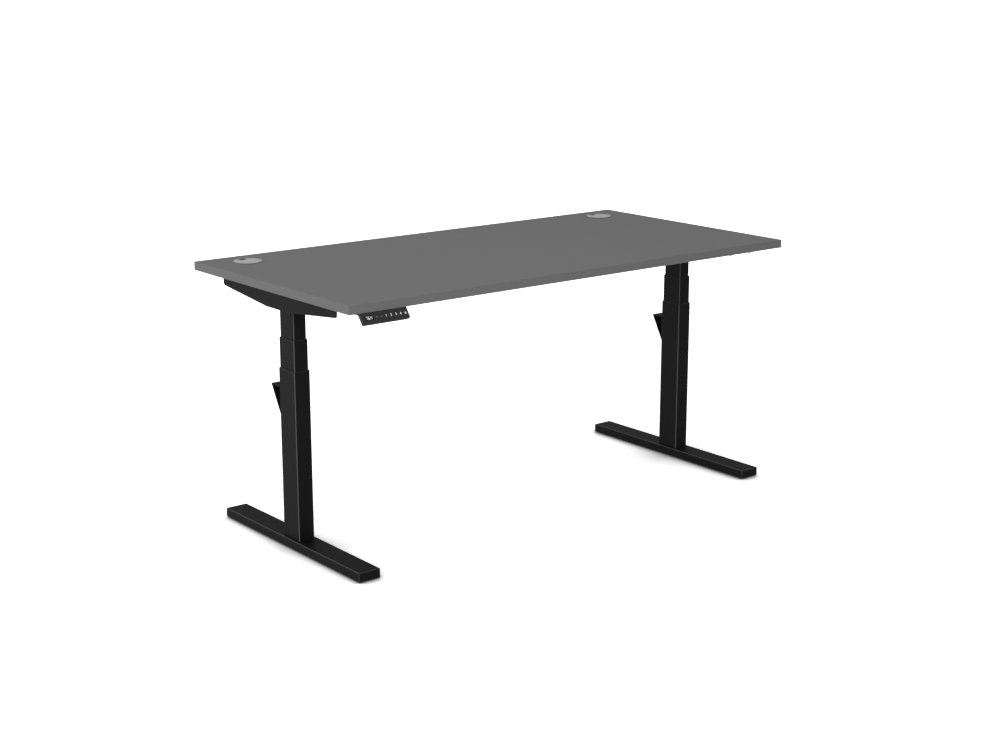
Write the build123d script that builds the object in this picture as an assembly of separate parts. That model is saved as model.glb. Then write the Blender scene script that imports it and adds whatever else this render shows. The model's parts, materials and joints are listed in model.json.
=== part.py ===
from build123d import *
import os
import math

# Height adjustable standing desk: two three-stage telescopic legs on flat
# feet, a steel under-frame, a laminated top with two cable ports, and a
# seven-key handset under the front edge.  Millimetres, +Z up, +X right,
# -Y towards the person at the desk.  The origin is on the floor under the
# middle of the overall outline.

# ---------------------------------------------------------------- dimensions
# worktop
top_w = 1600.0            # along X
top_d = 800.0             # along Y
top_t = 25.0
top_z = 764.0             # upper face at the stored height
band_t = 2.0              # edge band thickness
band_r = 1.0              # rounding of the edge band
und_z = top_z - top_t     # underside of the worktop

# feet and legs (y is measured from the middle of the worktop)
leg_x = 730.0
leg_y = -16.0
foot_w = 68.0
foot_l = 700.0
foot_z0 = 3.0
foot_h = 26.0
foot_wall = 2.0
foot_r = 1.5
cap_t = 2.0
foot_z1 = foot_z0 + foot_h

# three telescopic stages: outer x, outer y, corner radius
out_x, out_y, out_r = 50.0, 80.0, 2.5
mid_x, mid_y, mid_r = 45.0, 75.0, 2.5
inn_x, inn_y, inn_r = 40.0, 70.0, 2.5
tube_wall = 1.5
out_top = 515.0
mid_bot, mid_top = 112.0, 602.0
inn_bot = 200.0
lip_h = 1.5
slide_gap = 0.3

# spindle drive
pillar_od, pillar_id = 28.0, 24.4
pillar_top = 480.0
nut2_h = 20.0
carrier_od, carrier_id = 34.0, 30.0
carrier_top = 593.0
nut1_h = 22.0
s2_od, s2_id = 20.0, 13.0
s2_z0, s2_z1 = 115.0, 588.0
s1_d = 12.0
s1_z0, s1_z1 = 190.0, 724.0
run_gap = 0.05            # radial running clearance of a spindle in its nut

# side brackets
br_w = 88.0
br_half = 290.0
br_back = 5.0             # the bracket sits this much behind the leg
br_flat_front, br_flat_rear = 51.0, 63.0   # level stretch of the lower edge
br_zflat = 686.6
br_zend = 711.5
br_wall = 3.0
br_corner = 8.0
saddle_front, saddle_rear = 51.0, 60.0     # plate under the channel

# rear brackets on the legs
rb_top, rb_bot = 463.5, 386.0
rb_depth = 43.0
rb_wall = 3.0
rb_hole_r = 3.25
rb_hole_pitch = 28.0
rb_hole_y = 22.0          # from the leg's rear face

# gearbox, motor, cross bars
gb_x, gb_y, gb_z1 = 60.0, 74.0, 731.0
mot_d, mot_l, mot_z = 36.0, 100.0, 717.0
bar_y = (-91.0, 59.0)
bar_t, bar_h = 20.0, 36.0
bar_wall = 1.5
bar_z1 = 738.5

# control box
cb_x0, cb_x1 = 120.0, 380.0
cb_y0, cb_y1 = -72.0, 40.0
cb_z0, cb_z1 = 704.0, 736.0

# handset
hs_x0, hs_x1 = -767.5, -622.5
hs_tilt = 36.5            # face leans this far from vertical
hs_face = 31.0            # face height
hs_t = 11.0
key_x = [45.2 + 15.0 * i for i in range(7)]   # key centres from the left end
key_names = ["key_up", "key_down", "key_1", "key_2", "key_3", "key_4",
             "key_memory"]
key_w, key_h, key_t, key_proud, key_gap = 10.6, 9.0, 3.0, 0.5, 0.3
key_travel = 0.5
win_c, win_w, win_h, win_t = 21.8, 27.0, 13.0, 1.2

# cable ports
port_xl, port_xr, port_y = -680.0, 670.0, 301.5
port_hole = 76.0
sleeve_od, sleeve_id = 75.6, 71.0
sleeve_z0 = 742.0
rim_d, rim_t = 80.0, 1.0
lid_d, lid_t = 82.0, 1.6
skirt_od, skirt_id, skirt_h = 70.4, 67.0, 8.0
notch_w, notch_from = 25.0, 18.0

# levelling glides
gl_off = 315.0
pad_d, pad_h = 30.0, 2.7
stem_d = 8.0
stem_top = 24.0

# the outline runs from the front of the handset to the rear edge, so the
# worktop's middle stands a little behind the origin
hs_front = top_d / 2 + hs_face * math.sin(math.radians(hs_tilt))
y_shift = (hs_front - top_d / 2) / 2


# ------------------------------------------------------------------ helpers
def blk(x0, x1, y0, y1, z0, z1):
    return Pos((x0 + x1) / 2, (y0 + y1) / 2, (z0 + z1) / 2) * Box(
        abs(x1 - x0), abs(y1 - y0), abs(z1 - z0))


def cyl(x, y, z0, z1, r):
    return Pos(x, y, (z0 + z1) / 2) * Cylinder(r, z1 - z0)


def rbar(x, y, z0, z1, w, d, r):
    """Upright bar with a rounded rectangular section."""
    return extrude(Pos(x, y, z0) * RectangleRounded(w, d, r), z1 - z0)


def rtube(x, y, z0, z1, w, d, r, wall):
    outer = rbar(x, y, z0, z1, w, d, r)
    inner = rbar(x, y, z0 - 1, z1 + 1, w - 2 * wall, d - 2 * wall,
                 max(r - wall, 0.6))
    return outer - inner


def ring(x, y, z0, z1, ro, ri):
    return cyl(x, y, z0, z1, ro) - cyl(x, y, z0 - 1, z1 + 1, ri)


def hexsocket(x, y, z0, z1, across):
    return extrude(Pos(x, y, z0) * RegularPolygon(across / 2, 6,
                   major_radius=False), z1 - z0)


def xcyl(x0, x1, y, z, r):
    return Pos((x0 + x1) / 2, y, z) * Rot(0, 90, 0) * Cylinder(r, x1 - x0)


def ycyl(x, y0, y1, z, r):
    return Pos(x, (y0 + y1) / 2, z) * Rot(90, 0, 0) * Cylinder(r, y1 - y0)


def yz_prism(points, x0, x1):
    """Solid of a closed outline of (y, z) points, from x0 to x1."""
    face = make_face(Polyline(*[(x0, p[0], p[1]) for p in points],
                              close=True))
    return extrude(face, x1 - x0, dir=(1, 0, 0))


def mirror_x(s):
    return mirror(s, Plane.YZ)


parts = {}

# -------------------------------------------------------------------- feet
def foot(x):
    y0, y1 = leg_y - foot_l / 2 + cap_t, leg_y + foot_l / 2 - cap_t
    sk = Plane(origin=(x, y0, (foot_z0 + foot_z1) / 2), x_dir=(1, 0, 0),
               z_dir=(0, 1, 0))
    outer = extrude(sk * RectangleRounded(foot_w, foot_h, foot_r), y1 - y0)
    inner = extrude(sk * RectangleRounded(foot_w - 2 * foot_wall,
                                          foot_h - 2 * foot_wall, 0.8),
                    y1 - y0)
    s = outer - inner
    for sx in (-15, 15):
        for sy in (-28, 28):
            s -= cyl(x + sx, leg_y + sy, foot_z1 - foot_wall - 0.5,
                     foot_z1 + 1, 4.3)
            s -= cyl(x + sx, leg_y + sy, foot_z0 - 1,
                     foot_z0 + foot_wall + 0.5, 8.0)
    for sy in (-gl_off, gl_off):
        s -= cyl(x, leg_y + sy, foot_z0 - 1, foot_z0 + foot_wall + 0.5, 5.5)
    return s


parts["foot_left"] = foot(-leg_x)
parts["foot_right"] = foot(leg_x)

caps = []
for x in (-leg_x, leg_x):
    for sgn in (-1, 1):
        ya = leg_y + sgn * (foot_l / 2 - cap_t)
        yb = leg_y + sgn * foot_l / 2
        sk = Plane(origin=(x, ya, (foot_z0 + foot_z1) / 2), x_dir=(1, 0, 0),
                   z_dir=(0, sgn, 0))
        c = extrude(sk * RectangleRounded(foot_w, foot_h, foot_r), cap_t)
        rim = c.edges().group_by(Axis.Y)[0 if sgn < 0 else -1]
        c = fillet(rim, 0.8)
        plug = extrude(sk * RectangleRounded(foot_w - 2 * foot_wall - 0.4,
                       foot_h - 2 * foot_wall - 0.4, 0.8), -6)
        plug -= extrude(sk * RectangleRounded(foot_w - 2 * foot_wall - 3.4,
                        foot_h - 2 * foot_wall - 3.4, 0.8), -7)
        caps.append(c + plug)
parts["foot_end_caps"] = caps

nuts, glides = [], {}
for x, side in ((-leg_x, "left"), (leg_x, "right")):
    for sy, pos in ((-gl_off, "front"), (gl_off, "rear")):
        y = leg_y + sy
        n = extrude(Pos(x, y, foot_z0 + foot_wall) * RegularPolygon(
            8.0, 6, major_radius=False), 8)
        nuts.append(n - cyl(x, y, foot_z0, foot_z0 + 12, stem_d / 2 + run_gap))
        pad = cyl(x, y, 0, pad_h, pad_d / 2)
        pad = fillet(pad.edges().group_by(Axis.Z)[-1], 0.8)
        g = pad + cyl(x, y, pad_h - 0.5, stem_top, stem_d / 2)
        g -= blk(x - 0.7, x + 0.7, y - 5, y + 5, stem_top - 2, stem_top + 1)
        glides["glide_%s_%s" % (pos, side)] = g
parts["glide_nuts"] = nuts
parts.update(glides)

# ------------------------------------------------------------- outer stage
def outer_tube(x):
    return rtube(x, leg_y, foot_z1, out_top, out_x, out_y, out_r, tube_wall)


parts["outer_tube_left"] = outer_tube(-leg_x)
parts["outer_tube_right"] = outer_tube(leg_x)

pillars, screws, nuts2, collars, rbs = [], [], [], [], []
for x in (-leg_x, leg_x):
    plate = rbar(x, leg_y, foot_z1, foot_z1 + 8, out_x - 2 * tube_wall - 0.1,
                 out_y - 2 * tube_wall - 0.1, out_r - tube_wall)
    for sx in (-15, 15):
        for sy in (-28, 28):
            plate -= cyl(x + sx, leg_y + sy, foot_z1 - 1, foot_z1 + 9, 4.05)
            h = cyl(x + sx, leg_y + sy, foot_z1 - foot_wall - 5,
                    foot_z1 - foot_wall, 6.5)
            h -= hexsocket(x + sx, leg_y + sy, foot_z1 - foot_wall - 5.5,
                           foot_z1 - foot_wall - 2, 6.0)
            screws.append(h + cyl(x + sx, leg_y + sy,
                                  foot_z1 - foot_wall - 1, foot_z1 + 7.8, 4.0))
    pillars.append(plate + ring(x, leg_y, foot_z1 + 8, pillar_top,
                                pillar_od / 2, pillar_id / 2))
    n2 = cyl(x, leg_y, pillar_top, pillar_top + nut2_h, pillar_od / 2) + \
        cyl(x, leg_y, pillar_top - 12, pillar_top + 1, pillar_id / 2 - 0.05)
    nuts2.append(n2 - cyl(x, leg_y, pillar_top - 14,
                          pillar_top + nut2_h + 1, s2_od / 2 + run_gap))
    c = rtube(x, leg_y, out_top - 20, out_top, out_x - 2 * tube_wall - 0.1,
              out_y - 2 * tube_wall - 0.1, out_r - tube_wall, 0.65)
    lipo = rbar(x, leg_y, out_top, out_top + lip_h, out_x - 0.6, out_y - 0.6,
                out_r - 0.3)
    lipo = chamfer(lipo.edges().group_by(Axis.Z)[-1], 0.6)
    lip = lipo - rbar(x, leg_y, out_top - 1, out_top + lip_h + 1,
                      mid_x + 2 * slide_gap, mid_y + 2 * slide_gap,
                      mid_r + slide_gap)
    c = c - rbar(x, leg_y, out_top - 22, out_top + 1, mid_x + 2 * slide_gap,
                 mid_y + 2 * slide_gap, mid_r + slide_gap)
    collars.append(c + lip)
    # folded strip bracket, welded to the rear face of the leg
    yb = leg_y + out_y / 2
    outer = yz_prism([(yb, rb_top), (yb + rb_depth, rb_top), (yb, rb_bot)],
                     x - out_x / 2, x + out_x / 2)
    slope = math.hypot(rb_depth, rb_top - rb_bot)
    dz = rb_wall * slope / rb_depth          # vertical offset of the slant
    k = rb_depth / (rb_top - rb_bot)         # y per z along the slant
    zi = rb_top - rb_wall
    yi = yb + (zi - rb_bot - dz) * k
    inner = yz_prism([(yb - 1, zi), (yi, zi), (yb - 1, rb_bot + dz - 1 / k)],
                     x - out_x, x + out_x)
    b = outer - inner
    for sx in (-rb_hole_pitch / 2, rb_hole_pitch / 2):
        b -= cyl(x + sx, yb + rb_hole_y, rb_top - rb_wall - 1, rb_top + 1,
                 rb_hole_r)
    rbs.append(b)
parts["screw_pillars"] = pillars
parts["base_plate_screws"] = screws
parts["lower_nuts"] = nuts2
parts["outer_collars"] = collars
parts["rear_brackets"] = rbs

# ------------------------------------------------------------ middle stage
for x, side in ((-leg_x, "left"), (leg_x, "right")):
    parts["mid_tube_" + side] = rtube(x, leg_y, mid_bot, mid_top, mid_x,
                                      mid_y, mid_r, tube_wall)
    parts["mid_glide_sleeve_" + side] = rbar(
        x, leg_y, mid_bot + 4, mid_bot + 54,
        out_x - 2 * tube_wall - 2 * slide_gap,
        out_y - 2 * tube_wall - 2 * slide_gap,
        out_r - tube_wall - slide_gap) - rbar(
        x, leg_y, mid_bot, mid_bot + 60, mid_x + 0.1, mid_y + 0.1,
        mid_r + 0.05)
    c = rbar(x, leg_y, mid_top - 20, mid_top, mid_x - 2 * tube_wall - 0.1,
             mid_y - 2 * tube_wall - 0.1, mid_r - tube_wall)
    lip = rbar(x, leg_y, mid_top, mid_top + lip_h, mid_x - 0.6, mid_y - 0.6,
               mid_r - 0.3)
    lip = chamfer(lip.edges().group_by(Axis.Z)[-1], 0.6)
    parts["mid_collar_" + side] = (c + lip) - rbar(
        x, leg_y, mid_top - 22, mid_top + lip_h + 1, inn_x + 2 * slide_gap,
        inn_y + 2 * slide_gap, inn_r + slide_gap)
    plate = rbar(x, leg_y, mid_bot, mid_bot + 6, mid_x - 2 * tube_wall - 0.1,
                 mid_y - 2 * tube_wall - 0.1, mid_r - tube_wall) - cyl(
        x, leg_y, mid_bot - 1, mid_bot + 7, pillar_od / 2 + slide_gap)
    parts["mid_carrier_" + side] = plate + ring(
        x, leg_y, mid_bot + 6, carrier_top, carrier_od / 2, carrier_id / 2)
    n1 = cyl(x, leg_y, carrier_top, carrier_top + nut1_h, carrier_od / 2)
    n1 += cyl(x, leg_y, carrier_top - 4, carrier_top + 1, carrier_id / 2
              - 0.05)
    parts["upper_nut_" + side] = n1 - cyl(
        x, leg_y, carrier_top - 6, carrier_top + nut1_h + 1,
        s1_d / 2 + run_gap)
    parts["screw_bearing_" + side] = ring(
        x, leg_y, s2_z1 - 13.1, s2_z1 - 5.1, carrier_id / 2 - 0.05,
        s2_od / 2 + run_gap)
    s2 = cyl(x, leg_y, s2_z0, s2_z1, s2_od / 2) + cyl(
        x, leg_y, s2_z1 - 5, s2_z1, 13.0)
    s2 -= cyl(x, leg_y, s2_z0 - 1, s2_z1 + 1, s2_id / 2)
    parts["hollow_screw_" + side] = s2
    s1 = cyl(x, leg_y, s1_z0, s1_z1, s1_d / 2)
    parts["drive_screw_" + side] = s1

# -------------------------------------------------------------- top stage
fl_z0 = br_zflat + br_wall
inner_tubes, inner_sleeves, gearboxes, motors, frame_screws = \
    [], [], [], [], []
for x in (-leg_x, leg_x):
    t = rtube(x, leg_y, inn_bot, fl_z0 + 0.5, inn_x, inn_y, inn_r, tube_wall)
    f = rbar(x, leg_y, fl_z0, fl_z0 + 5, 70, 98, 5) - cyl(
        x, leg_y, fl_z0 - 1, fl_z0 + 6, 15)
    for sx in (-26, 26):
        for sy in (-43.5, 43.5):
            f -= cyl(x + sx, leg_y + sy, fl_z0 - 1, fl_z0 + 6, 3.05)
            s = cyl(x + sx, leg_y + sy, fl_z0 + 5, fl_z0 + 9, 4.6)
            s -= hexsocket(x + sx, leg_y + sy, fl_z0 + 7, fl_z0 + 10, 4.0)
            frame_screws.append(s + cyl(x + sx, leg_y + sy,
                                        br_zflat + 0.2, fl_z0 + 6, 3.0))
    g = rbar(x, leg_y, fl_z0 + 5, gb_z1, gb_x, gb_y, 6)
    g = fillet(g.edges().group_by(Axis.Z)[-1], 1.5)
    g -= cyl(x, leg_y, fl_z0, s1_z1 + 0.5, s1_d / 2 + run_gap)
    for sx in (-23, 23):
        for sy in (-32, 32):
            g -= cyl(x + sx, leg_y + sy, fl_z0 + 4, gb_z1 + 1, 2.6)
            f -= cyl(x + sx, leg_y + sy, fl_z0 + 0.8, fl_z0 + 6, 2.6)
            s = cyl(x + sx, leg_y + sy, gb_z1, gb_z1 + 3.5, 4.2)
            s -= hexsocket(x + sx, leg_y + sy, gb_z1 + 1.5, gb_z1 + 4, 3.0)
            frame_screws.append(s + cyl(x + sx, leg_y + sy, fl_z0 + 1,
                                        gb_z1 + 0.5, 2.5))
    ym = leg_y + gb_y / 2
    g -= ycyl(x, ym - 4, ym + 1, mot_z - 4, 11.0)
    gearboxes.append(g)
    inner_tubes.append(t + f)
    inner_sleeves.append(rbar(
        x, leg_y, inn_bot + 4, inn_bot + 54,
        mid_x - 2 * tube_wall - 2 * slide_gap,
        mid_y - 2 * tube_wall - 2 * slide_gap,
        mid_r - tube_wall - slide_gap) - rbar(
        x, leg_y, inn_bot, inn_bot + 60, inn_x + 0.1, inn_y + 0.1,
        inn_r + 0.05))
    can = ycyl(x, ym + 0.1, ym + mot_l, mot_z, mot_d / 2)
    can = fillet(can.edges().filter_by(GeomType.CIRCLE).group_by(Axis.Y)[-1],
                 2.0)
    m = can + ycyl(x, ym - 3.5, ym + 1, mot_z - 4, 10.9)
    m += ycyl(x, ym + mot_l - 1, ym + mot_l + 12, mot_z, 14.0)
    m += blk(x - 6, x + 6, ym + mot_l - 1, ym + mot_l + 8, mot_z - 17,
             mot_z - 10)
    motors.append(m)
parts["inner_tubes"] = inner_tubes
parts["inner_glide_sleeves"] = inner_sleeves
parts["gearboxes"] = gearboxes
parts["motors"] = motors


def bracket_outline(half, zend, zflat, fronts, rears, r, ztop):
    """Profile of the side bracket in the YZ plane, its two lower corners
    cut by short facets that follow a radius."""
    def corner(sgn, flat):
        # facets of an arc tangent to the upright end and to the slope
        a = math.atan2(zend - zflat, half + sgn * br_back - flat)
        turn = math.pi / 2 - a
        tl = r * math.tan(turn / 2)
        cy, cz = half + sgn * br_back - r, zend + tl
        pts = []
        for i in range(9):
            t = -(math.pi / 2 - a) * (1 - i / 8.0)
            pts.append((cy + r * math.cos(t), cz + r * math.sin(t)))
        return [(sgn * p[0], p[1]) for p in pts]
    pts = [(rears, zflat)] + corner(1, rears) + [(half + br_back, ztop),
                                                 (br_back - half, ztop)]
    pts += corner(-1, fronts)[::-1] + [(-fronts, zflat)]
    return [(leg_y + p[0], p[1]) for p in pts]


screw_pts = []            # screws driven up into the worktop: x, y, head z


def side_bracket(x):
    """Folded channel, open below and at its ends, with a saddle plate
    welded across it where the leg comes up."""
    s = yz_prism(bracket_outline(br_half, br_zend, br_zflat, br_flat_front,
                                 br_flat_rear, br_corner, und_z),
                 x - br_w / 2, x + br_w / 2)
    top_edges = [e for e in s.edges() if abs(e.center().Z - und_z) < 0.01
                 and e.length > br_half]
    s = fillet(top_edges, 2.5)
    s -= blk(x - br_w / 2 + br_wall, x + br_w / 2 - br_wall,
             leg_y - br_half - 9, leg_y + br_half + 9, 600, und_z - br_wall)
    s += blk(x - br_w / 2 + 1, x + br_w / 2 - 1, leg_y - saddle_front,
             leg_y + saddle_rear, br_zflat, br_zflat + br_wall)
    for sx in (-28, 28):
        for dy in (-262, -110, 110, 262):
            px, py = x + sx, leg_y + dy
            s -= cyl(px, py, und_z - br_wall - 1, und_z + 1, 2.3)
            screw_pts.append((px, py, und_z - br_wall))
    s -= rbar(x, leg_y, br_zflat - 1, br_zflat + br_wall + 1, inn_x + 0.2,
              inn_y + 0.2, inn_r + 0.1)
    for sx in (-26, 26):
        for sy in (-43.5, 43.5):
            s -= cyl(x + sx, leg_y + sy, br_zflat - 1,
                     br_zflat + br_wall + 1, 3.05)
    xi = x - math.copysign(br_w / 2, x)
    for by in bar_y:
        for dy in (-24, 24):
            s -= xcyl(xi - 4, xi + 4, by + dy, bar_z1 - bar_h / 2, 3.2)
    return s


parts["side_bracket_left"] = side_bracket(-leg_x)
parts["side_bracket_right"] = side_bracket(leg_x)

bars = []
xin = leg_x - br_w / 2
zc = bar_z1 - bar_h / 2
for by in bar_y:
    sk = Plane(origin=(-xin + 3, by, zc), x_dir=(0, 1, 0), z_dir=(1, 0, 0))
    b = extrude(sk * RectangleRounded(bar_t, bar_h, 2), 2 * xin - 6)
    b -= extrude(sk * RectangleRounded(bar_t - 2 * bar_wall,
                                       bar_h - 2 * bar_wall, 0.6),
                 2 * xin - 6)
    for sgn in (-1, 1):
        p = blk(sgn * (xin - 3), sgn * xin, by - 32, by + 32,
                zc - bar_h / 2, zc + bar_h / 2)
        for dy in (-24, 24):
            p -= xcyl(sgn * (xin - 1.5) - 3, sgn * (xin - 1.5) + 3, by + dy,
                      zc, 3.05)
            head = xcyl(min(sgn * (xin + 3), sgn * (xin + 6.5)),
                        max(sgn * (xin + 3), sgn * (xin + 6.5)), by + dy,
                        zc, 5.25)
            shank = xcyl(min(sgn * (xin - 9), sgn * (xin + 4)),
                         max(sgn * (xin - 9), sgn * (xin + 4)), by + dy,
                         zc, 3.0)
            nut = xcyl(min(sgn * (xin - 8), sgn * (xin - 3)),
                       max(sgn * (xin - 8), sgn * (xin - 3)), by + dy,
                       zc, 5.5) - xcyl(
                min(sgn * (xin - 10), sgn * (xin - 1)),
                max(sgn * (xin - 10), sgn * (xin - 1)), by + dy, zc, 3.05)
            frame_screws.append(head + shank)
            p += nut
        b += p
    bars.append(b)
parts["crossbar_front"] = bars[0]
parts["crossbar_rear"] = bars[1]
parts["frame_screws"] = frame_screws

# ------------------------------------------------------------- control box
cb = blk(cb_x0, cb_x1, cb_y0, cb_y1, cb_z0, cb_z1)
cb = fillet(cb.edges().filter_by(Axis.Z), 4)
cb = fillet(cb.edges().group_by(Axis.Z)[0], 2)
cb -= blk(cb_x0 + 2, cb_x1 - 2, cb_y0 + 2, cb_y1 - 2, cb_z0 + 2, cb_z1 + 1)
# mains inlet and three sockets in the end wall nearest the handset
inlet_y, inlet_z = 18.0, 720.0
cb -= blk(cb_x0 - 1, cb_x0 + 3, inlet_y - 10, inlet_y + 10, inlet_z - 5.5,
          inlet_z + 5.5)
cb += blk(cb_x0 + 1, cb_x0 + 15, inlet_y - 11.5, inlet_y + 11.5,
          inlet_z - 7, inlet_z + 7) - blk(
    cb_x0 - 1, cb_x0 + 13, inlet_y - 10, inlet_y + 10, inlet_z - 5.5,
    inlet_z + 5.5)
for dy in (-4.2, 4.2):
    cb += xcyl(cb_x0 + 3, cb_x0 + 14, inlet_y + dy, inlet_z, 1.2)
for yy, ww in ((-12.0, 14.0), (-33.0, 14.0), (-54.0, 12.0)):
    cb -= blk(cb_x0 - 1, cb_x0 + 3, yy - ww / 2, yy + ww / 2, 715.0, 725.0)
    cb += blk(cb_x0 + 1, cb_x0 + 12, yy - ww / 2 - 1.5, yy + ww / 2 + 1.5,
              713.5, 726.5) - blk(
        cb_x0 - 1, cb_x0 + 10.5, yy - ww / 2, yy + ww / 2, 715.0, 725.0)
for i in range(12):
    vx = cb_x0 + 70 + 11 * i
    cb -= blk(vx - 1.6, vx + 1.6, cb_y0 + 34, cb_y1 - 34, cb_z0 - 1, cb_z0 + 3)
parts["control_box"] = cb
lid = rbar((cb_x0 + cb_x1) / 2, (cb_y0 + cb_y1) / 2, cb_z1, cb_z1 + 2,
           cb_x1 - cb_x0 + 32, cb_y1 - cb_y0, 4)
for px in (cb_x0 - 9, cb_x1 + 9):
    for py in (cb_y0 + 16, cb_y1 - 16):
        lid -= cyl(px, py, cb_z1 - 1, cb_z1 + 3, 2.2)
        screw_pts.append((px, py, cb_z1))
lid += blk(cb_x0 + 2.3, cb_x1 - 2.3, cb_y0 + 2.3, cb_y0 + 3.8,
           cb_z1 - 4, cb_z1 + 0.5)
lid += blk(cb_x0 + 2.3, cb_x1 - 2.3, cb_y1 - 3.8, cb_y1 - 2.3,
           cb_z1 - 4, cb_z1 + 0.5)
parts["control_box_lid"] = lid

# ----------------------------------------------------------------- handset
ct, st = math.cos(math.radians(hs_tilt)), math.sin(math.radians(hs_tilt))
yf = -top_d / 2
face = Plane(origin=(hs_x0, yf, und_z), x_dir=(1, 0, 0), z_dir=(0, -ct, st))


def hs(u0, u1, v0, v1, d0, d1):
    """Block in face coordinates: u along the face from its left end, v down
    the face from its top edge, d the depth below the face."""
    return face.location * blk(u0, u1, -v1, -v0, -d1, -d0)


hs_w = hs_x1 - hs_x0
back_top = (yf + hs_t * ct + 0.4, und_z - hs_t * st)
prof = [(yf, und_z), (yf - hs_face * st, und_z - hs_face * ct),
        (yf - hs_face * st + hs_t * ct, und_z - hs_face * ct - hs_t * st),
        (yf + hs_t * ct + 0.3, und_z - 6.0),
        (yf + 52, und_z - 6.0), (yf + 52, und_z)]
body = yz_prism(prof, hs_x0, hs_x1)
ends = [e for e in body.edges() if abs(e.length - hs_t) < 0.05
        and e.center().Z < und_z - hs_face * ct + 1]
body = fillet(ends, 2.5)
low = [e for e in body.edges() if e.center().Z < und_z - hs_face * ct + 1
       and abs(e.center().X - (hs_x0 + hs_x1) / 2) < 1.0]
body = fillet(low, 1.2)
body -= hs(win_c - win_w / 2, win_c + win_w / 2, hs_face / 2 - win_h / 2,
           hs_face / 2 + win_h / 2, -1, win_t)
body -= hs(win_c - 9, win_c + 9, hs_face / 2 - 4.5, hs_face / 2 + 4.5, 0, 6)
for kx in key_x:
    body -= hs(kx - key_w / 2 - key_gap, kx + key_w / 2 + key_gap,
               hs_face / 2 - key_h / 2 - key_gap,
               hs_face / 2 + key_h / 2 + key_gap, -1,
               key_t - key_proud + key_travel + 0.2)
body -= hs(4, hs_w - 4, 4, 24.5, 5.0, hs_t + 0.5)
for px in (hs_x0 + 30, hs_x1 - 30):
    body -= cyl(px, yf + 38, und_z - 8, und_z + 1, 2.2)
    screw_pts.append((px, yf + 38, und_z - 6.0))
parts["handset_housing"] = body
parts["handset_cover"] = hs(4.1, hs_w - 4.1, 4.1, 24.4, hs_t - 1.6, hs_t)
parts["handset_board"] = hs(6, hs_w - 6, 6, 22.5, 5.2, 6.8)
win = hs(win_c - win_w / 2 + 0.1, win_c + win_w / 2 - 0.1,
         hs_face / 2 - win_h / 2 + 0.1, hs_face / 2 + win_h / 2 - 0.1,
         0, win_t)
parts["handset_window"] = win
for kx, kn in zip(key_x, key_names):
    k = hs(kx - key_w / 2, kx + key_w / 2, hs_face / 2 - key_h / 2,
           hs_face / 2 + key_h / 2, -key_proud, key_t - key_proud)
    topn = [e for e in k.edges()
            if abs((e.center() - Vector(*face.location.position)).dot(
                Vector(0, -ct, st)) - key_proud) < 0.01]
    parts[kn] = fillet(topn, 0.35)

# ---------------------------------------------------------------- worktop
board = blk(-top_w / 2 + band_t, top_w / 2 - band_t, -top_d / 2 + band_t,
            top_d / 2 - band_t, und_z, top_z)
for x in (port_xl, port_xr):
    board -= cyl(x, port_y, und_z - 1, top_z + 1, port_hole / 2)
dscrews = []
for px, py, zh in screw_pts:
    board -= cyl(px, py, und_z - 1, und_z + 16, 1.85)
    s = cyl(px, py, zh - 2.6, zh, 4.2)
    s = fillet(s.edges().group_by(Axis.Z)[0], 1.0)
    s += cyl(px, py, zh - 0.5, und_z + 15.5, 1.8)
    s -= blk(px - 2.4, px + 2.4, py - 0.5, py + 0.5, zh - 3, zh - 1.4)
    s -= blk(px - 0.5, px + 0.5, py - 2.4, py + 2.4, zh - 3, zh - 1.4)
    dscrews.append(s)
parts["desktop"] = board
parts["desktop_screws"] = dscrews

rim = extrude(Pos(0, 0, und_z) * RectangleRounded(top_w, top_d, 1.5), top_t)
rim = fillet(rim.edges().group_by(Axis.Z)[-1]
             + rim.edges().group_by(Axis.Z)[0], band_r)
w2, d2 = top_w / 2, top_d / 2
strips = [rim & blk(-w2 - 1, w2 + 1, -d2 - 1, -d2 + band_t, 0, 900),
          rim & blk(-w2 - 1, w2 + 1, d2 - band_t, d2 + 1, 0, 900),
          rim & blk(-w2 - 1, -w2 + band_t, -d2 + band_t, d2 - band_t, 0, 900),
          rim & blk(w2 - band_t, w2 + 1, -d2 + band_t, d2 - band_t, 0, 900)]
parts["edge_band"] = strips

sleeves = []
for x, side in ((port_xl, "left"), (port_xr, "right")):
    s = cyl(x, port_y, sleeve_z0, top_z, sleeve_od / 2)
    f = cyl(x, port_y, top_z, top_z + rim_t, rim_d / 2)
    f = chamfer(f.edges().group_by(Axis.Z)[-1], 0.4)
    s = s + f
    s -= cyl(x, port_y, sleeve_z0 - 1, top_z + rim_t + 1, sleeve_id / 2)
    sleeves.append(s)
    z0 = top_z + rim_t + 0.1
    c = cyl(x, port_y, z0, z0 + lid_t, lid_d / 2)
    c = fillet(c.edges().group_by(Axis.Z)[-1], 0.7)
    c += ring(x, port_y, z0 - skirt_h, z0 + 0.5, skirt_od / 2, skirt_id / 2)
    n = blk(x - notch_w / 2, x + notch_w / 2, port_y + notch_from,
            port_y + lid_d, z0 - skirt_h - 1, z0 + lid_t + 1)
    n = fillet([e for e in n.edges().filter_by(Axis.Z)
                if e.center().Y < port_y + notch_from + 1], 4)
    parts["cable_port_cap_" + side] = c - n
parts["cable_port_sleeves"] = sleeves

# ------------------------------------------------------------------ export
os.makedirs("parts", exist_ok=True)


def solids_of(p):
    out = []
    for q in (p if isinstance(p, list) else [p]):
        out += list(q.solids())
    return out


for name in sorted(parts):
    items = [s.moved(Location((0, y_shift, 0))) for s in solids_of(parts[name])]
    shape = items[0] if len(items) == 1 else Compound(children=items)
    export_step(shape, os.path.join("parts", name + ".step"))
print("nodes", len(parts), "y shift %.3f" % y_shift)
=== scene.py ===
import bpy, bmesh, json, math
from mathutils import Vector, Matrix


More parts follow.
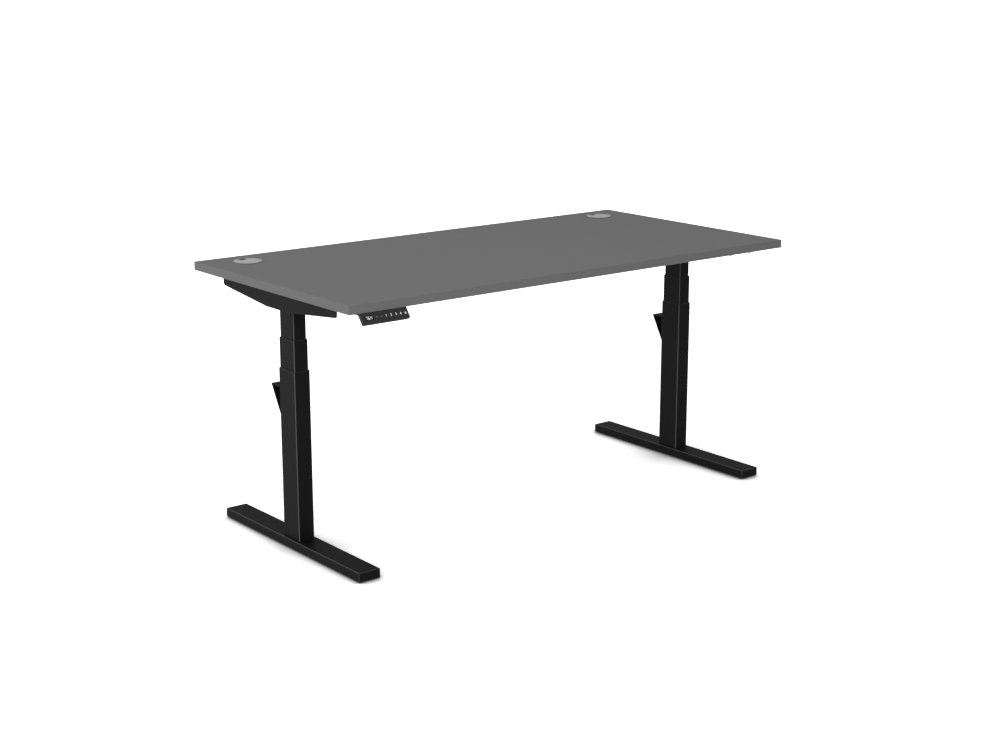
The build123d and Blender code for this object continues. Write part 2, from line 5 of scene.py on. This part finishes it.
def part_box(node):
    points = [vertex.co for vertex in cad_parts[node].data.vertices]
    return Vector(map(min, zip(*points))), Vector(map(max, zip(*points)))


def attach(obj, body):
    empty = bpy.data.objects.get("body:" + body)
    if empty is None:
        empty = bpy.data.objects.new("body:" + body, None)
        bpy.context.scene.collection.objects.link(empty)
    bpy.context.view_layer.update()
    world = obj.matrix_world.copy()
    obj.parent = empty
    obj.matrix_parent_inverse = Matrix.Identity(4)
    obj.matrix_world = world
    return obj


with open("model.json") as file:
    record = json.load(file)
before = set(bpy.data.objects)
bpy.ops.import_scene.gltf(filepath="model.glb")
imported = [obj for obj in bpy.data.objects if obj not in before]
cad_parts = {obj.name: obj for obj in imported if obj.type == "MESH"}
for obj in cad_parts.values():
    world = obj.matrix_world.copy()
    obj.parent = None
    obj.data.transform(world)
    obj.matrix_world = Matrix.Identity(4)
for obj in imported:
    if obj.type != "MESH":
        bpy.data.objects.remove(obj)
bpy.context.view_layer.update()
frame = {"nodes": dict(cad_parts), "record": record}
nodes, rec = frame["nodes"], frame["record"]
scene = bpy.context.scene
scene.view_settings.view_transform = "Standard"
scene.view_settings.look = "None"
scene.view_settings.exposure = 0.0
scene.view_settings.gamma = 1.0

# ------------------------------------------------------------------ camera
cam_data = bpy.data.cameras.new("camera")
cam_data.sensor_width = 36.0
cam_data.lens = 61.193
cam_data.clip_end = 60.0
cam = bpy.data.objects.new("camera", cam_data)
scene.collection.objects.link(cam)
# the worktop's middle stands a little behind the frame's origin
lo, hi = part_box("desktop")
top_y = (lo[1] + hi[1]) / 2
cam.location = (-3.11736, -3.91344 + top_y, 1.64017)
cam.rotation_euler = (math.radians(90.0 - 14.1354), math.radians(0.0117),
                      math.radians(-38.5997))
scene.camera = cam


# --------------------------------------------------------------- materials
class Mat:
    """Small helper to write node trees."""

    def __init__(self, name):
        self.m = bpy.data.materials.new(name)
        self.m.use_nodes = True
        self.t = self.m.node_tree
        for n in list(self.t.nodes):
            self.t.nodes.remove(n)
        self.out = self.t.nodes.new("ShaderNodeOutputMaterial")
        self.b = self.t.nodes.new("ShaderNodeBsdfPrincipled")
        self.link(self.b.outputs[0], self.out.inputs[0])
        self.tc = self.t.nodes.new("ShaderNodeTexCoord")
        self.co = self.tc.outputs["Object"]

    def link(self, a, b):
        self.t.links.new(a, b)

    def set(self, **kw):
        for k, v in kw.items():
            self.b.inputs[k.replace("_", " ")].default_value = v

    def mapping(self, scale):
        n = self.t.nodes.new("ShaderNodeMapping")
        n.inputs["Scale"].default_value = scale
        self.link(self.co, n.inputs["Vector"])
        return n.outputs[0]

    def noise(self, scale, detail=3.0, rough=0.55, vec=None, dist=0.0):
        n = self.t.nodes.new("ShaderNodeTexNoise")
        n.inputs["Scale"].default_value = scale
        n.inputs["Detail"].default_value = detail
        n.inputs["Roughness"].default_value = rough
        n.inputs["Distortion"].default_value = dist
        self.link(vec or self.co, n.inputs["Vector"])
        return n.outputs["Fac"]

    def voronoi(self, scale, vec=None, feature="F1", out="Distance"):
        n = self.t.nodes.new("ShaderNodeTexVoronoi")
        n.feature = feature
        n.inputs["Scale"].default_value = scale
        self.link(vec or self.co, n.inputs["Vector"])
        return n.outputs[out]

    def ramp(self, fac, lo, hi, p0=0.0, p1=1.0):
        n = self.t.nodes.new("ShaderNodeMapRange")
        n.inputs["From Min"].default_value = p0
        n.inputs["From Max"].default_value = p1
        n.inputs["To Min"].default_value = lo
        n.inputs["To Max"].default_value = hi
        self.link(fac, n.inputs["Value"])
        return n.outputs["Result"]

    def math(self, op, a, b):
        n = self.t.nodes.new("ShaderNodeMath")
        n.operation = op
        for i, v in enumerate((a, b)):
            if isinstance(v, (int, float)):
                n.inputs[i].default_value = v
            else:
                self.link(v, n.inputs[i])
        return n.outputs[0]

    def mix(self, fac, a, b):
        """Colour mix; a and b are colours or sockets."""
        n = self.t.nodes.new("ShaderNodeMix")
        n.data_type = "RGBA"
        self.link(fac, n.inputs["Factor"])
        for s, v in (("A", a), ("B", b)):
            sock = [i for i in n.inputs if i.name == s and i.type == "RGBA"][0]
            if isinstance(v, (tuple, list)):
                sock.default_value = (*v[:3], 1.0)
            else:
                self.link(v, sock)
        return [o for o in n.outputs if o.type == "RGBA"][0]

    def bump(self, height, strength, dist, normal=None):
        n = self.t.nodes.new("ShaderNodeBump")
        n.inputs["Strength"].default_value = strength
        n.inputs["Distance"].default_value = dist
        self.link(height, n.inputs["Height"])
        if normal is not None:
            self.link(normal, n.inputs["Normal"])
        return n.outputs[0]

    def edge(self, radius):
        """1 on a sharp edge, 0 on a flat: the rounded normal against the
        true one."""
        bv = self.t.nodes.new("ShaderNodeBevel")
        bv.samples = 6
        bv.inputs["Radius"].default_value = radius
        g = self.t.nodes.new("ShaderNodeNewGeometry")
        d = self.t.nodes.new("ShaderNodeVectorMath")
        d.operation = "DOT_PRODUCT"
        self.link(bv.outputs[0], d.inputs[0])
        self.link(g.outputs["Normal"], d.inputs[1])
        return self.ramp(d.outputs["Value"], 1.0, 0.0, 0.72, 0.995)

    def corner(self):
        """1 on a rounded corner of a tube or foot, 0 on its flats."""
        g = self.t.nodes.new("ShaderNodeNewGeometry")
        s = self.t.nodes.new("ShaderNodeSeparateXYZ")
        self.link(g.outputs["Normal"], s.inputs[0])
        best = None
        for i, j in ((0, 1), (0, 2), (1, 2)):
            p = self.math("MULTIPLY", s.outputs[i], s.outputs[j])
            p = self.math("ABSOLUTE", p, 0.0)
            best = p if best is None else self.math("MAXIMUM", best, p)
        return self.ramp(best, 0.0, 1.0, 0.14, 0.42)

    def colour(self, sock):
        self.link(sock, self.b.inputs["Base Color"])

    def rough(self, sock):
        self.link(sock, self.b.inputs["Roughness"])

    def normal(self, sock):
        self.link(sock, self.b.inputs["Normal"])


def g(v, tint=0.0):
    return (v, v, v * (1 + tint))


def powder_coat(name, base=0.0044, hi=0.0094, edge_highlight_c=0.050, tube=False):
    """Fine textured black powder coat; its edges are drawn lighter, partly
    scuffed wear and partly a painted highlight, and on tubes and feet its
    rounded corners carry a painted highlight.
    """
    m = Mat(name)
    fine = m.noise(1500.0, 2.0, 0.6)
    peel = m.noise(420.0, 2.0, 0.5)
    cloud = m.noise(5.0, 3.0, 0.6)
    body = m.mix(m.ramp(cloud, 0.0, 1.0, 0.3, 0.7), g(base), g(base * 1.18))
    speck = m.ramp(fine, 0.0, 0.55, 0.58, 0.78)
    body = m.mix(speck, body, g(hi))
    # painted highlight, partly wear: the edges are drawn lighter through the
    # bevel mask, broken up by scuff noise
    edge_wear_and_highlight = m.edge(0.0012)
    scuff = m.ramp(m.noise(60.0, 4.0, 0.7), 0.35, 1.0, 0.35, 0.65)
    body = m.mix(m.math("MULTIPLY", edge_wear_and_highlight, scuff), body, g(edge_highlight_c))
    # painted highlight: the rounded corners of tubes and feet are drawn
    # lighter, standing in for light caught on their radius
    if tube:
        body = m.mix(m.math("MULTIPLY", m.corner(), 1.0), body, g(0.120))
    m.colour(body)
    m.rough(m.ramp(peel, 0.46, 0.60, 0.3, 0.7))
    m.normal(m.bump(fine, 0.35, 0.00006, m.bump(peel, 0.25, 0.0001)))
    m.set(Specular_IOR_Level=0.14)
    return m.m


def laminate(name):
    """Plain dark grey melamine with a faint pearl grain."""
    m = Mat(name)
    grain = m.noise(900.0, 3.0, 0.65)
    pearl = m.voronoi(1400.0)
    cloud = m.noise(2.2, 3.0, 0.55)
    c = m.mix(m.ramp(cloud, 0.0, 1.0, 0.3, 0.7), g(0.1500, 0.006),
              g(0.1560, 0.006))
    c = m.mix(m.ramp(grain, 0.0, 0.5, 0.52, 0.75), c, g(0.178, 0.006))
    c = m.mix(m.ramp(pearl, 0.25, 0.0, 0.05, 0.30), c, g(0.120, 0.006))
    m.colour(c)
    m.rough(m.ramp(grain, 0.50, 0.62, 0.3, 0.7))
    m.normal(m.bump(grain, 0.22, 0.00005, m.bump(pearl, 0.10, 0.00003)))
    m.set(Specular_IOR_Level=0.30)
    return m.m


def band(name):
    m = Mat(name)
    grain = m.noise(1100.0, 3.0, 0.6)
    streak = m.noise(1.0, 2.0, 0.5, m.mapping((30.0, 30.0, 900.0)))
    c = m.mix(m.ramp(grain, 0.0, 1.0, 0.35, 0.65), g(0.148), g(0.162))
    c = m.mix(m.ramp(streak, 0.0, 0.35, 0.45, 0.7), c, g(0.170))
    # painted highlight: the band's edges are drawn lighter through the bevel
    # mask
    e = m.edge(0.0012)
    c = m.mix(m.math("MULTIPLY", e, 0.7), c, g(0.26))
    m.colour(c)
    m.rough(m.ramp(grain, 0.46, 0.56, 0.3, 0.7))
    m.normal(m.bump(grain, 0.2, 0.00005))
    m.set(Specular_IOR_Level=0.35)
    return m.m


def plastic(name, base, rough=0.5, spec=0.4, grain=1600.0, depth=0.00004,
            lift=1.25, edge_highlight_c=None):
    """Moulded plastic with a spark-eroded texture."""
    m = Mat(name)
    n = m.noise(grain, 3.0, 0.6)
    big = m.noise(12.0, 3.0, 0.6)
    c = m.mix(m.ramp(big, 0.0, 1.0, 0.3, 0.7), base,
              tuple(v * 1.07 for v in base))
    c = m.mix(m.ramp(n, 0.0, 0.6, 0.5, 0.8), c,
              tuple(v * lift for v in base))
    # painted highlight: the edges are drawn in the lighter edge colour through
    # the bevel mask
    if edge_highlight_c is not None:
        c = m.mix(m.math("MULTIPLY", m.edge(0.0005), 0.6), c, edge_highlight_c)
    m.colour(c)
    m.rough(m.ramp(n, rough - 0.06, rough + 0.08, 0.3, 0.7))
    m.normal(m.bump(n, 0.3, depth))
    m.set(Specular_IOR_Level=spec)
    return m.m


def steel(name, base, rough=0.32, scale=(120.0, 120.0, 2500.0), metal=1.0):
    """Bare or plated steel with drawn or turned marks."""
    m = Mat(name)
    lines = m.noise(1.0, 3.0, 0.6, m.mapping(scale))
    cloud = m.noise(40.0, 4.0, 0.6)
    c = m.mix(m.ramp(lines, 0.0, 1.0, 0.3, 0.7),
              tuple(v * 0.86 for v in base), base)
    c = m.mix(m.ramp(cloud, 0.0, 0.35, 0.55, 0.8), c,
              tuple(v * 0.7 for v in base))
    m.colour(c)
    m.rough(m.ramp(lines, rough - 0.07, rough + 0.1, 0.3, 0.7))
    m.normal(m.bump(lines, 0.15, 0.00003))
    m.set(Metallic=metal)
    return m.m


def window_mat():
    m = Mat("smoked_window")
    n = m.noise(260.0, 2.0, 0.5)
    m.colour(m.mix(m.ramp(n, 0.0, 1.0, 0.3, 0.7), (0.006, 0.006, 0.008),
                   (0.009, 0.009, 0.011)))
    m.rough(m.ramp(n, 0.07, 0.11, 0.3, 0.7))
    m.set(Specular_IOR_Level=0.35)
    return m.m


def print_mat(name, col, glow=0.0):
    """Printed or lit mark."""
    m = Mat(name)
    n = m.noise(2500.0, 2.0, 0.5)
    m.colour(m.mix(m.ramp(n, 0.0, 1.0, 0.35, 0.65),
                   tuple(v * 0.92 for v in col), col))
    m.rough(m.ramp(n, 0.5, 0.6, 0.3, 0.7))
    m.set(Specular_IOR_Level=0.2)
    if glow:
        m.b.inputs["Emission Color"].default_value = (*col, 1.0)
        m.b.inputs["Emission Strength"].default_value = glow
    return m.m


def board_mat():
    m = Mat("circuit_board")
    n = m.noise(300.0, 2.0, 0.5)
    t = m.voronoi(420.0)
    c = m.mix(m.ramp(n, 0.0, 1.0, 0.4, 0.6), (0.006, 0.055, 0.02),
              (0.009, 0.085, 0.03))
    m.colour(m.mix(m.ramp(t, 0.6, 0.0, 0.02, 0.12), c, (0.35, 0.25, 0.08)))
    m.rough(m.ramp(n, 0.3, 0.42, 0.3, 0.7))
    return m.m


# the edge colours given to the plastics below are painted highlights
M = {
    "laminate": laminate("laminate"),
    "edge_band": band("edge_band"),
    "black_steel": powder_coat("black_powder_coat"),
    "tube_steel": powder_coat("black_powder_coat_tube", tube=True),
    "zinc_steel": steel("zinc_plate", (0.62, 0.62, 0.60), 0.34,
                        (900.0, 900.0, 900.0)),
    "black_screws": steel("black_oxide_screw", (0.045, 0.045, 0.045), 0.36,
                          (900.0, 900.0, 900.0), 0.8),
    "bright_steel": steel("rolled_steel", (0.56, 0.55, 0.53), 0.28,
                          (60.0, 60.0, 2200.0)),
    "black_nylon": plastic("black_nylon", (0.016, 0.016, 0.016), 0.48, 0.35,
                           1200.0, edge_highlight_c=(0.05, 0.05, 0.05)),
    "glide_plastic": plastic("glide_nylon", (0.014, 0.014, 0.014), 0.5, 0.4),
    "grey_plastic": plastic("light_grey_plastic", (0.425, 0.427, 0.432),
                            0.42, 0.4, 1500.0, lift=1.1,
                            edge_highlight_c=(0.5, 0.5, 0.5)),
    # made near-black and barely glossy so the cap's notch reads dark: painted
    # shade standing in for the shadow inside the hole
    "port_plastic": plastic("port_black_plastic", (0.005, 0.005, 0.005), 0.5,
                            0.15, 1300.0),
    "gearbox_plastic": plastic("glass_filled_nylon", (0.02, 0.02, 0.02),
                               0.55, 0.4, 800.0, 0.00008, 1.6),
    "motor_steel": steel("zinc_motor_can", (0.34, 0.34, 0.33), 0.36,
                         (900.0, 60.0, 900.0)),
    "control_plastic": plastic("control_box_plastic", (0.017, 0.017, 0.017),
                               0.5, 0.4, 900.0, 0.00008, 1.5,
                               (0.04, 0.04, 0.04)),
    "handset_plastic": plastic("handset_plastic", (0.0165, 0.0165, 0.0175),
                               0.45, 0.4, 1900.0, 0.00003, 1.4,
                               (0.05, 0.05, 0.05)),
    "circuit_board": board_mat(),
    "window": window_mat(),
    "key_plastic": plastic("key_plastic", (0.022, 0.022, 0.023), 0.5, 0.4,
                           2100.0, 0.00003, 1.3, (0.055, 0.055, 0.055)),
}
slot_of = {s["node"]: s["material_slot"] for s in rec["subparts"]}


def dress(obj, mat):
    obj.data.materials.clear()
    obj.data.materials.append(mat)


for name, obj in nodes.items():
    key = slot_of[name]
    if key == "black_steel" and ("tube" in name or "foot" in name):
        key = "tube_steel"
    if name in ("desktop_screws", "frame_screws"):
        key = "black_screws"
    dress(obj, M[key])


# ------------------------------------------------------------ mesh helpers
def new_mesh(name, verts, faces, mat, body, smooth=False):
    me = bpy.data.meshes.new(name)
    me.from_pydata(verts, [], faces)
    bm = bmesh.new()
    bm.from_mesh(me)
    bmesh.ops.recalc_face_normals(bm, faces=bm.faces)
    for f in bm.faces:
        f.smooth = smooth
    bm.to_mesh(me)
    bm.free()
    ob = bpy.data.objects.new(name, me)
    scene.collection.objects.link(ob)
    me.materials.append(mat)
    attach(ob, body)
    return ob


def solid_from_outlines(outlines, origin, ux, uy, un, low, high):
    """Closed prisms over flat outlines, given in local (u, v)."""
    verts, faces = [], []
    for pts in outlines:
        n = len(pts)
        b = len(verts)
        for h in (low, high):
            for u, v in pts:
                verts.append(origin + ux * u + uy * v + un * h)
        faces.append(list(range(b + n - 1, b - 1, -1)))
        faces.append(list(range(b + n, b + 2 * n)))
        for i in range(n):
            j = (i + 1) % n
            faces.append([b + i, b + j, b + n + j, b + n + i])
    return verts, faces


def stroke(pts, w):
    """Outlines of the strokes that follow a line of points."""
    out = []
    for (x0, y0), (x1, y1) in zip(pts, pts[1:]):
        dx, dy = x1 - x0, y1 - y0
        l = math.hypot(dx, dy)
        dx, dy = dx / l * w / 2, dy / l * w / 2
        out.append([(x0 + dy, y0 - dx), (x1 + dy, y1 - dx),
                    (x1 - dy, y1 + dx), (x0 - dy, y0 + dx)])
    return out


# ----------------------------------------------------------------- handset
tilt = math.radians(36.5)
ux = Vector((1, 0, 0))
uy = Vector((0, math.sin(tilt), math.cos(tilt)))       # up the face
un = Vector((0, -math.cos(tilt), math.sin(tilt)))      # out of the face


def face_centre(node):
    """Middle of a part's outer face, square to the handset's face."""
    ob = nodes[node]
    pts = [ob.matrix_world @ v.co for v in ob.data.vertices]

    def span(d):
        k = [p.dot(d) for p in pts]
        return min(k), max(k)
    a, b, c = span(ux), span(uy), span(un)
    return ux * (a[0] + a[1]) / 2 + uy * (b[0] + b[1]) / 2 + un * c[1]


def arc(cx, cy, r, a0, a1, n=12):
    return [(cx + r * math.cos(math.radians(a0 + (a1 - a0) * i / n)),
             cy + r * math.sin(math.radians(a0 + (a1 - a0) * i / n)))
            for i in range(n + 1)]


DIGITS = {
    "1": [[(-0.22, 0.28), (0.05, 0.5), (0.05, -0.5)]],
    "2": [arc(0.0, 0.22, 0.28, 165, -32) + [(-0.28, -0.5), (0.3, -0.5)]],
    "3": [arc(-0.01, 0.25, 0.25, 145, -90) + arc(-0.01, -0.25, 0.27, 88, -145)],
    "4": [[(0.14, -0.5), (0.14, 0.5), (-0.3, -0.16), (0.32, -0.16)]],
}


def legend(node, shape):
    c = face_centre(node)
    o = c
    s = 0.0060
    w = 0.00100
    outs = []
    if shape == "up":
        outs = stroke([(-s * 0.42, -s * 0.18), (0, s * 0.28),
                       (s * 0.42, -s * 0.18)], w)
    elif shape == "down":
        outs = stroke([(-s * 0.42, s * 0.18), (0, -s * 0.28),
                       (s * 0.42, s * 0.18)], w)
    elif shape == "memory":
        # a small store symbol: an arrow down into an open tray
        outs = stroke([(0, s * 0.5), (0, -s * 0.08)], w) + \
            stroke([(-s * 0.2, s * 0.1), (0, -s * 0.12), (s * 0.2, s * 0.1)],
                   w) + \
            stroke([(-s * 0.42, -s * 0.12), (-s * 0.42, -s * 0.46),
                    (s * 0.42, -s * 0.46), (s * 0.42, -s * 0.12)], w)
    else:
        for line in DIGITS[shape]:
            outs += stroke([(x * s, y * s) for x, y in line], w)
    # round every end and bend of the drawn lines
    ends = {((q[0] + r[0]) / 2, (q[1] + r[1]) / 2)
            for line in outs for q, r in ((line[0], line[-1]),
                                          (line[1], line[2]))}
    for x, y in sorted(ends):
        outs.append([(x + w / 2 * math.cos(math.pi * k / 6),
                      y + w / 2 * math.sin(math.pi * k / 6))
                     for k in range(12)])
    v, f = solid_from_outlines(outs, o, ux, uy, un, -0.00008, 0.00003)
    mat = M_print_dim if shape in ("up", "down") else M_print
    return new_mesh("legend_" + node, v, f, mat, node)


# the printed key legends glow a little: painted light, as no lamp lights them;
# the lit display segments shine as a display does
M_print = print_mat("legend_print", (0.80, 0.81, 0.82), 0.35)
M_print_dim = print_mat("legend_print_dim", (0.26, 0.26, 0.27), 0.06)
M_lit = print_mat("display_segments", (0.80, 0.82, 0.84), 0.45)
M_unlit = print_mat("display_segments_off", (0.012, 0.012, 0.013))

for node, shape in (("key_up", "up"), ("key_down", "down"), ("key_1", "1"),
                    ("key_2", "2"), ("key_3", "3"), ("key_4", "4"),
                    ("key_memory", "memory")):
    legend(node, shape)

# seven-segment display behind the window: the height in centimetres
SEG = {"a": [(-1, 2), (1, 2)], "b": [(1, 2), (1, 0)], "c": [(1, 0), (1, -2)],
       "d": [(-1, -2), (1, -2)], "e": [(-1, 0), (-1, -2)],
       "f": [(-1, 2), (-1, 0)], "g": [(-1, 0), (1, 0)]}
ON = {"7": "abc", "6": "acdefg", "4": "bcfg"}


def seg_outline(p, q, w, gap):
    (x0, y0), (x1, y1) = p, q
    dx, dy = x1 - x0, y1 - y0
    l = math.hypot(dx, dy)
    dx, dy = dx / l, dy / l
    a0, a1 = gap, l - gap
    px, py = -dy * w / 2, dx * w / 2

    def at(t, k):
        return (x0 + dx * t + px * k, y0 + dy * t + py * k)
    return [at(a0, 0), at(a0 + w / 2, 1), at(a1 - w / 2, 1), at(a1, 0),
            at(a1 - w / 2, -1), at(a0 + w / 2, -1)]


wc = face_centre("handset_window")
lit, unlit = [], []
for i, ch in enumerate("764"):
    cx = (i - 1.0) * 0.0068
    for k, (p, q) in SEG.items():
        pp = (cx + p[0] * 0.0021 + p[1] * 0.00018, p[1] * 0.0019)
        qq = (cx + q[0] * 0.0021 + q[1] * 0.00018, q[1] * 0.0019)
        (lit if k in ON[ch] else unlit).append(
            seg_outline(pp, qq, 0.0012, 0.00025))
# the point before the last figure
lit.append([(0.0031, -0.0043), (0.0041, -0.0043), (0.0041, -0.0033),
            (0.0031, -0.0033)])
o = wc
v, f = solid_from_outlines(lit, o, ux, uy, un, -0.0001, 0.00003)
new_mesh("display_segments_lit", v, f, M_lit, "top")
v, f = solid_from_outlines(unlit, o, ux, uy, un, -0.0001, 0.00001)
new_mesh("display_segments_unlit", v, f, M_unlit, "top")

# ------------------------------------------------------------------- stage
FLOOR_GAIN = 2.3
fm = Mat("studio_floor")
lp = fm.t.nodes.new("ShaderNodeLightPath")
n = fm.noise(3.0, 2.0, 0.5)
pale = fm.mix(fm.ramp(n, 0.0, 1.0, 0.3, 0.7), (0.80, 0.80, 0.80),
              (0.81, 0.81, 0.81))
# painted shadow: the floor's colour, as the camera sees it, darkens by ambient
# occlusion near the parts
ao = fm.t.nodes.new("ShaderNodeAmbientOcclusion")
ao.samples = 12
ao.inputs["Distance"].default_value = 0.16
floor_seen_with_painted_shadow = fm.mix(fm.ramp(ao.outputs["AO"], 0.0, 1.0, 0.45, 0.985),
              (FLOOR_GAIN * 0.2,) * 3, (FLOOR_GAIN,) * 3)
fm.colour(fm.mix(lp.outputs["Is Camera Ray"], pale, floor_seen_with_painted_shadow))
fm.set(Roughness=1.0, Specular_IOR_Level=0.0)
# away from the object the floor runs out into the white backdrop
sep = fm.t.nodes.new("ShaderNodeSeparateXYZ")
fm.link(fm.co, sep.inputs[0])
r2 = fm.math("ADD", fm.math("MULTIPLY", sep.outputs[0], sep.outputs[0]),
             fm.math("MULTIPLY", sep.outputs[1], sep.outputs[1]))
far = fm.ramp(fm.math("SQRT", r2, 0.0), 0.0, 0.9, 1.6, 4.5)
fm.b.inputs["Emission Color"].default_value = (1, 1, 1, 1)
fm.link(fm.math("MULTIPLY", lp.outputs["Is Camera Ray"], far),
        fm.b.inputs["Emission Strength"])
bpy.ops.mesh.primitive_plane_add(size=60.0, location=(0, 0, -0.0002))
floor = bpy.context.object
floor.name = "studio_floor"
floor.data.materials.append(fm.m)

world = bpy.data.worlds.new("studio")
scene.world = world
world.use_nodes = True
wt = world.node_tree
for nn in list(wt.nodes):
    wt.nodes.remove(nn)
wo = wt.nodes.new("ShaderNodeOutputWorld")
mixs = wt.nodes.new("ShaderNodeMixShader")
bg1 = wt.nodes.new("ShaderNodeBackground")
bg2 = wt.nodes.new("ShaderNodeBackground")
wl = wt.nodes.new("ShaderNodeLightPath")
bg1.inputs["Color"].default_value = (1, 1, 1, 1)
bg1.inputs["Strength"].default_value = 0.36
bg2.inputs["Color"].default_value = (1, 1, 1, 1)
bg2.inputs["Strength"].default_value = 1.05
wt.links.new(wl.outputs["Is Camera Ray"], mixs.inputs[0])
wt.links.new(bg1.outputs[0], mixs.inputs[1])
wt.links.new(bg2.outputs[0], mixs.inputs[2])
wt.links.new(mixs.outputs[0], wo.inputs[0])


def area(name, loc, target, size, size_y, watts):
    d = bpy.data.lights.new(name, "AREA")
    d.shape = "RECTANGLE"
    d.size, d.size_y = size, size_y
    d.energy = watts
    ob = bpy.data.objects.new(name, d)
    scene.collection.objects.link(ob)
    ob.location = loc
    ob.rotation_euler = (Vector(target) - Vector(loc)).to_track_quat(
        "-Z", "Y").to_euler()
    return ob


area("overhead", (0.0, 0.6, 4.2), (0, 0, 0.4), 4.5, 3.5, 46)
area("left_rear", (-4.2, 2.6, 1.5), (-0.4, 0, 0.45), 3.4, 2.4, 72)
area("front_fill", (-2.6, -4.6, 3.2), (0, 0, 0.5), 4.0, 3.0, 140)
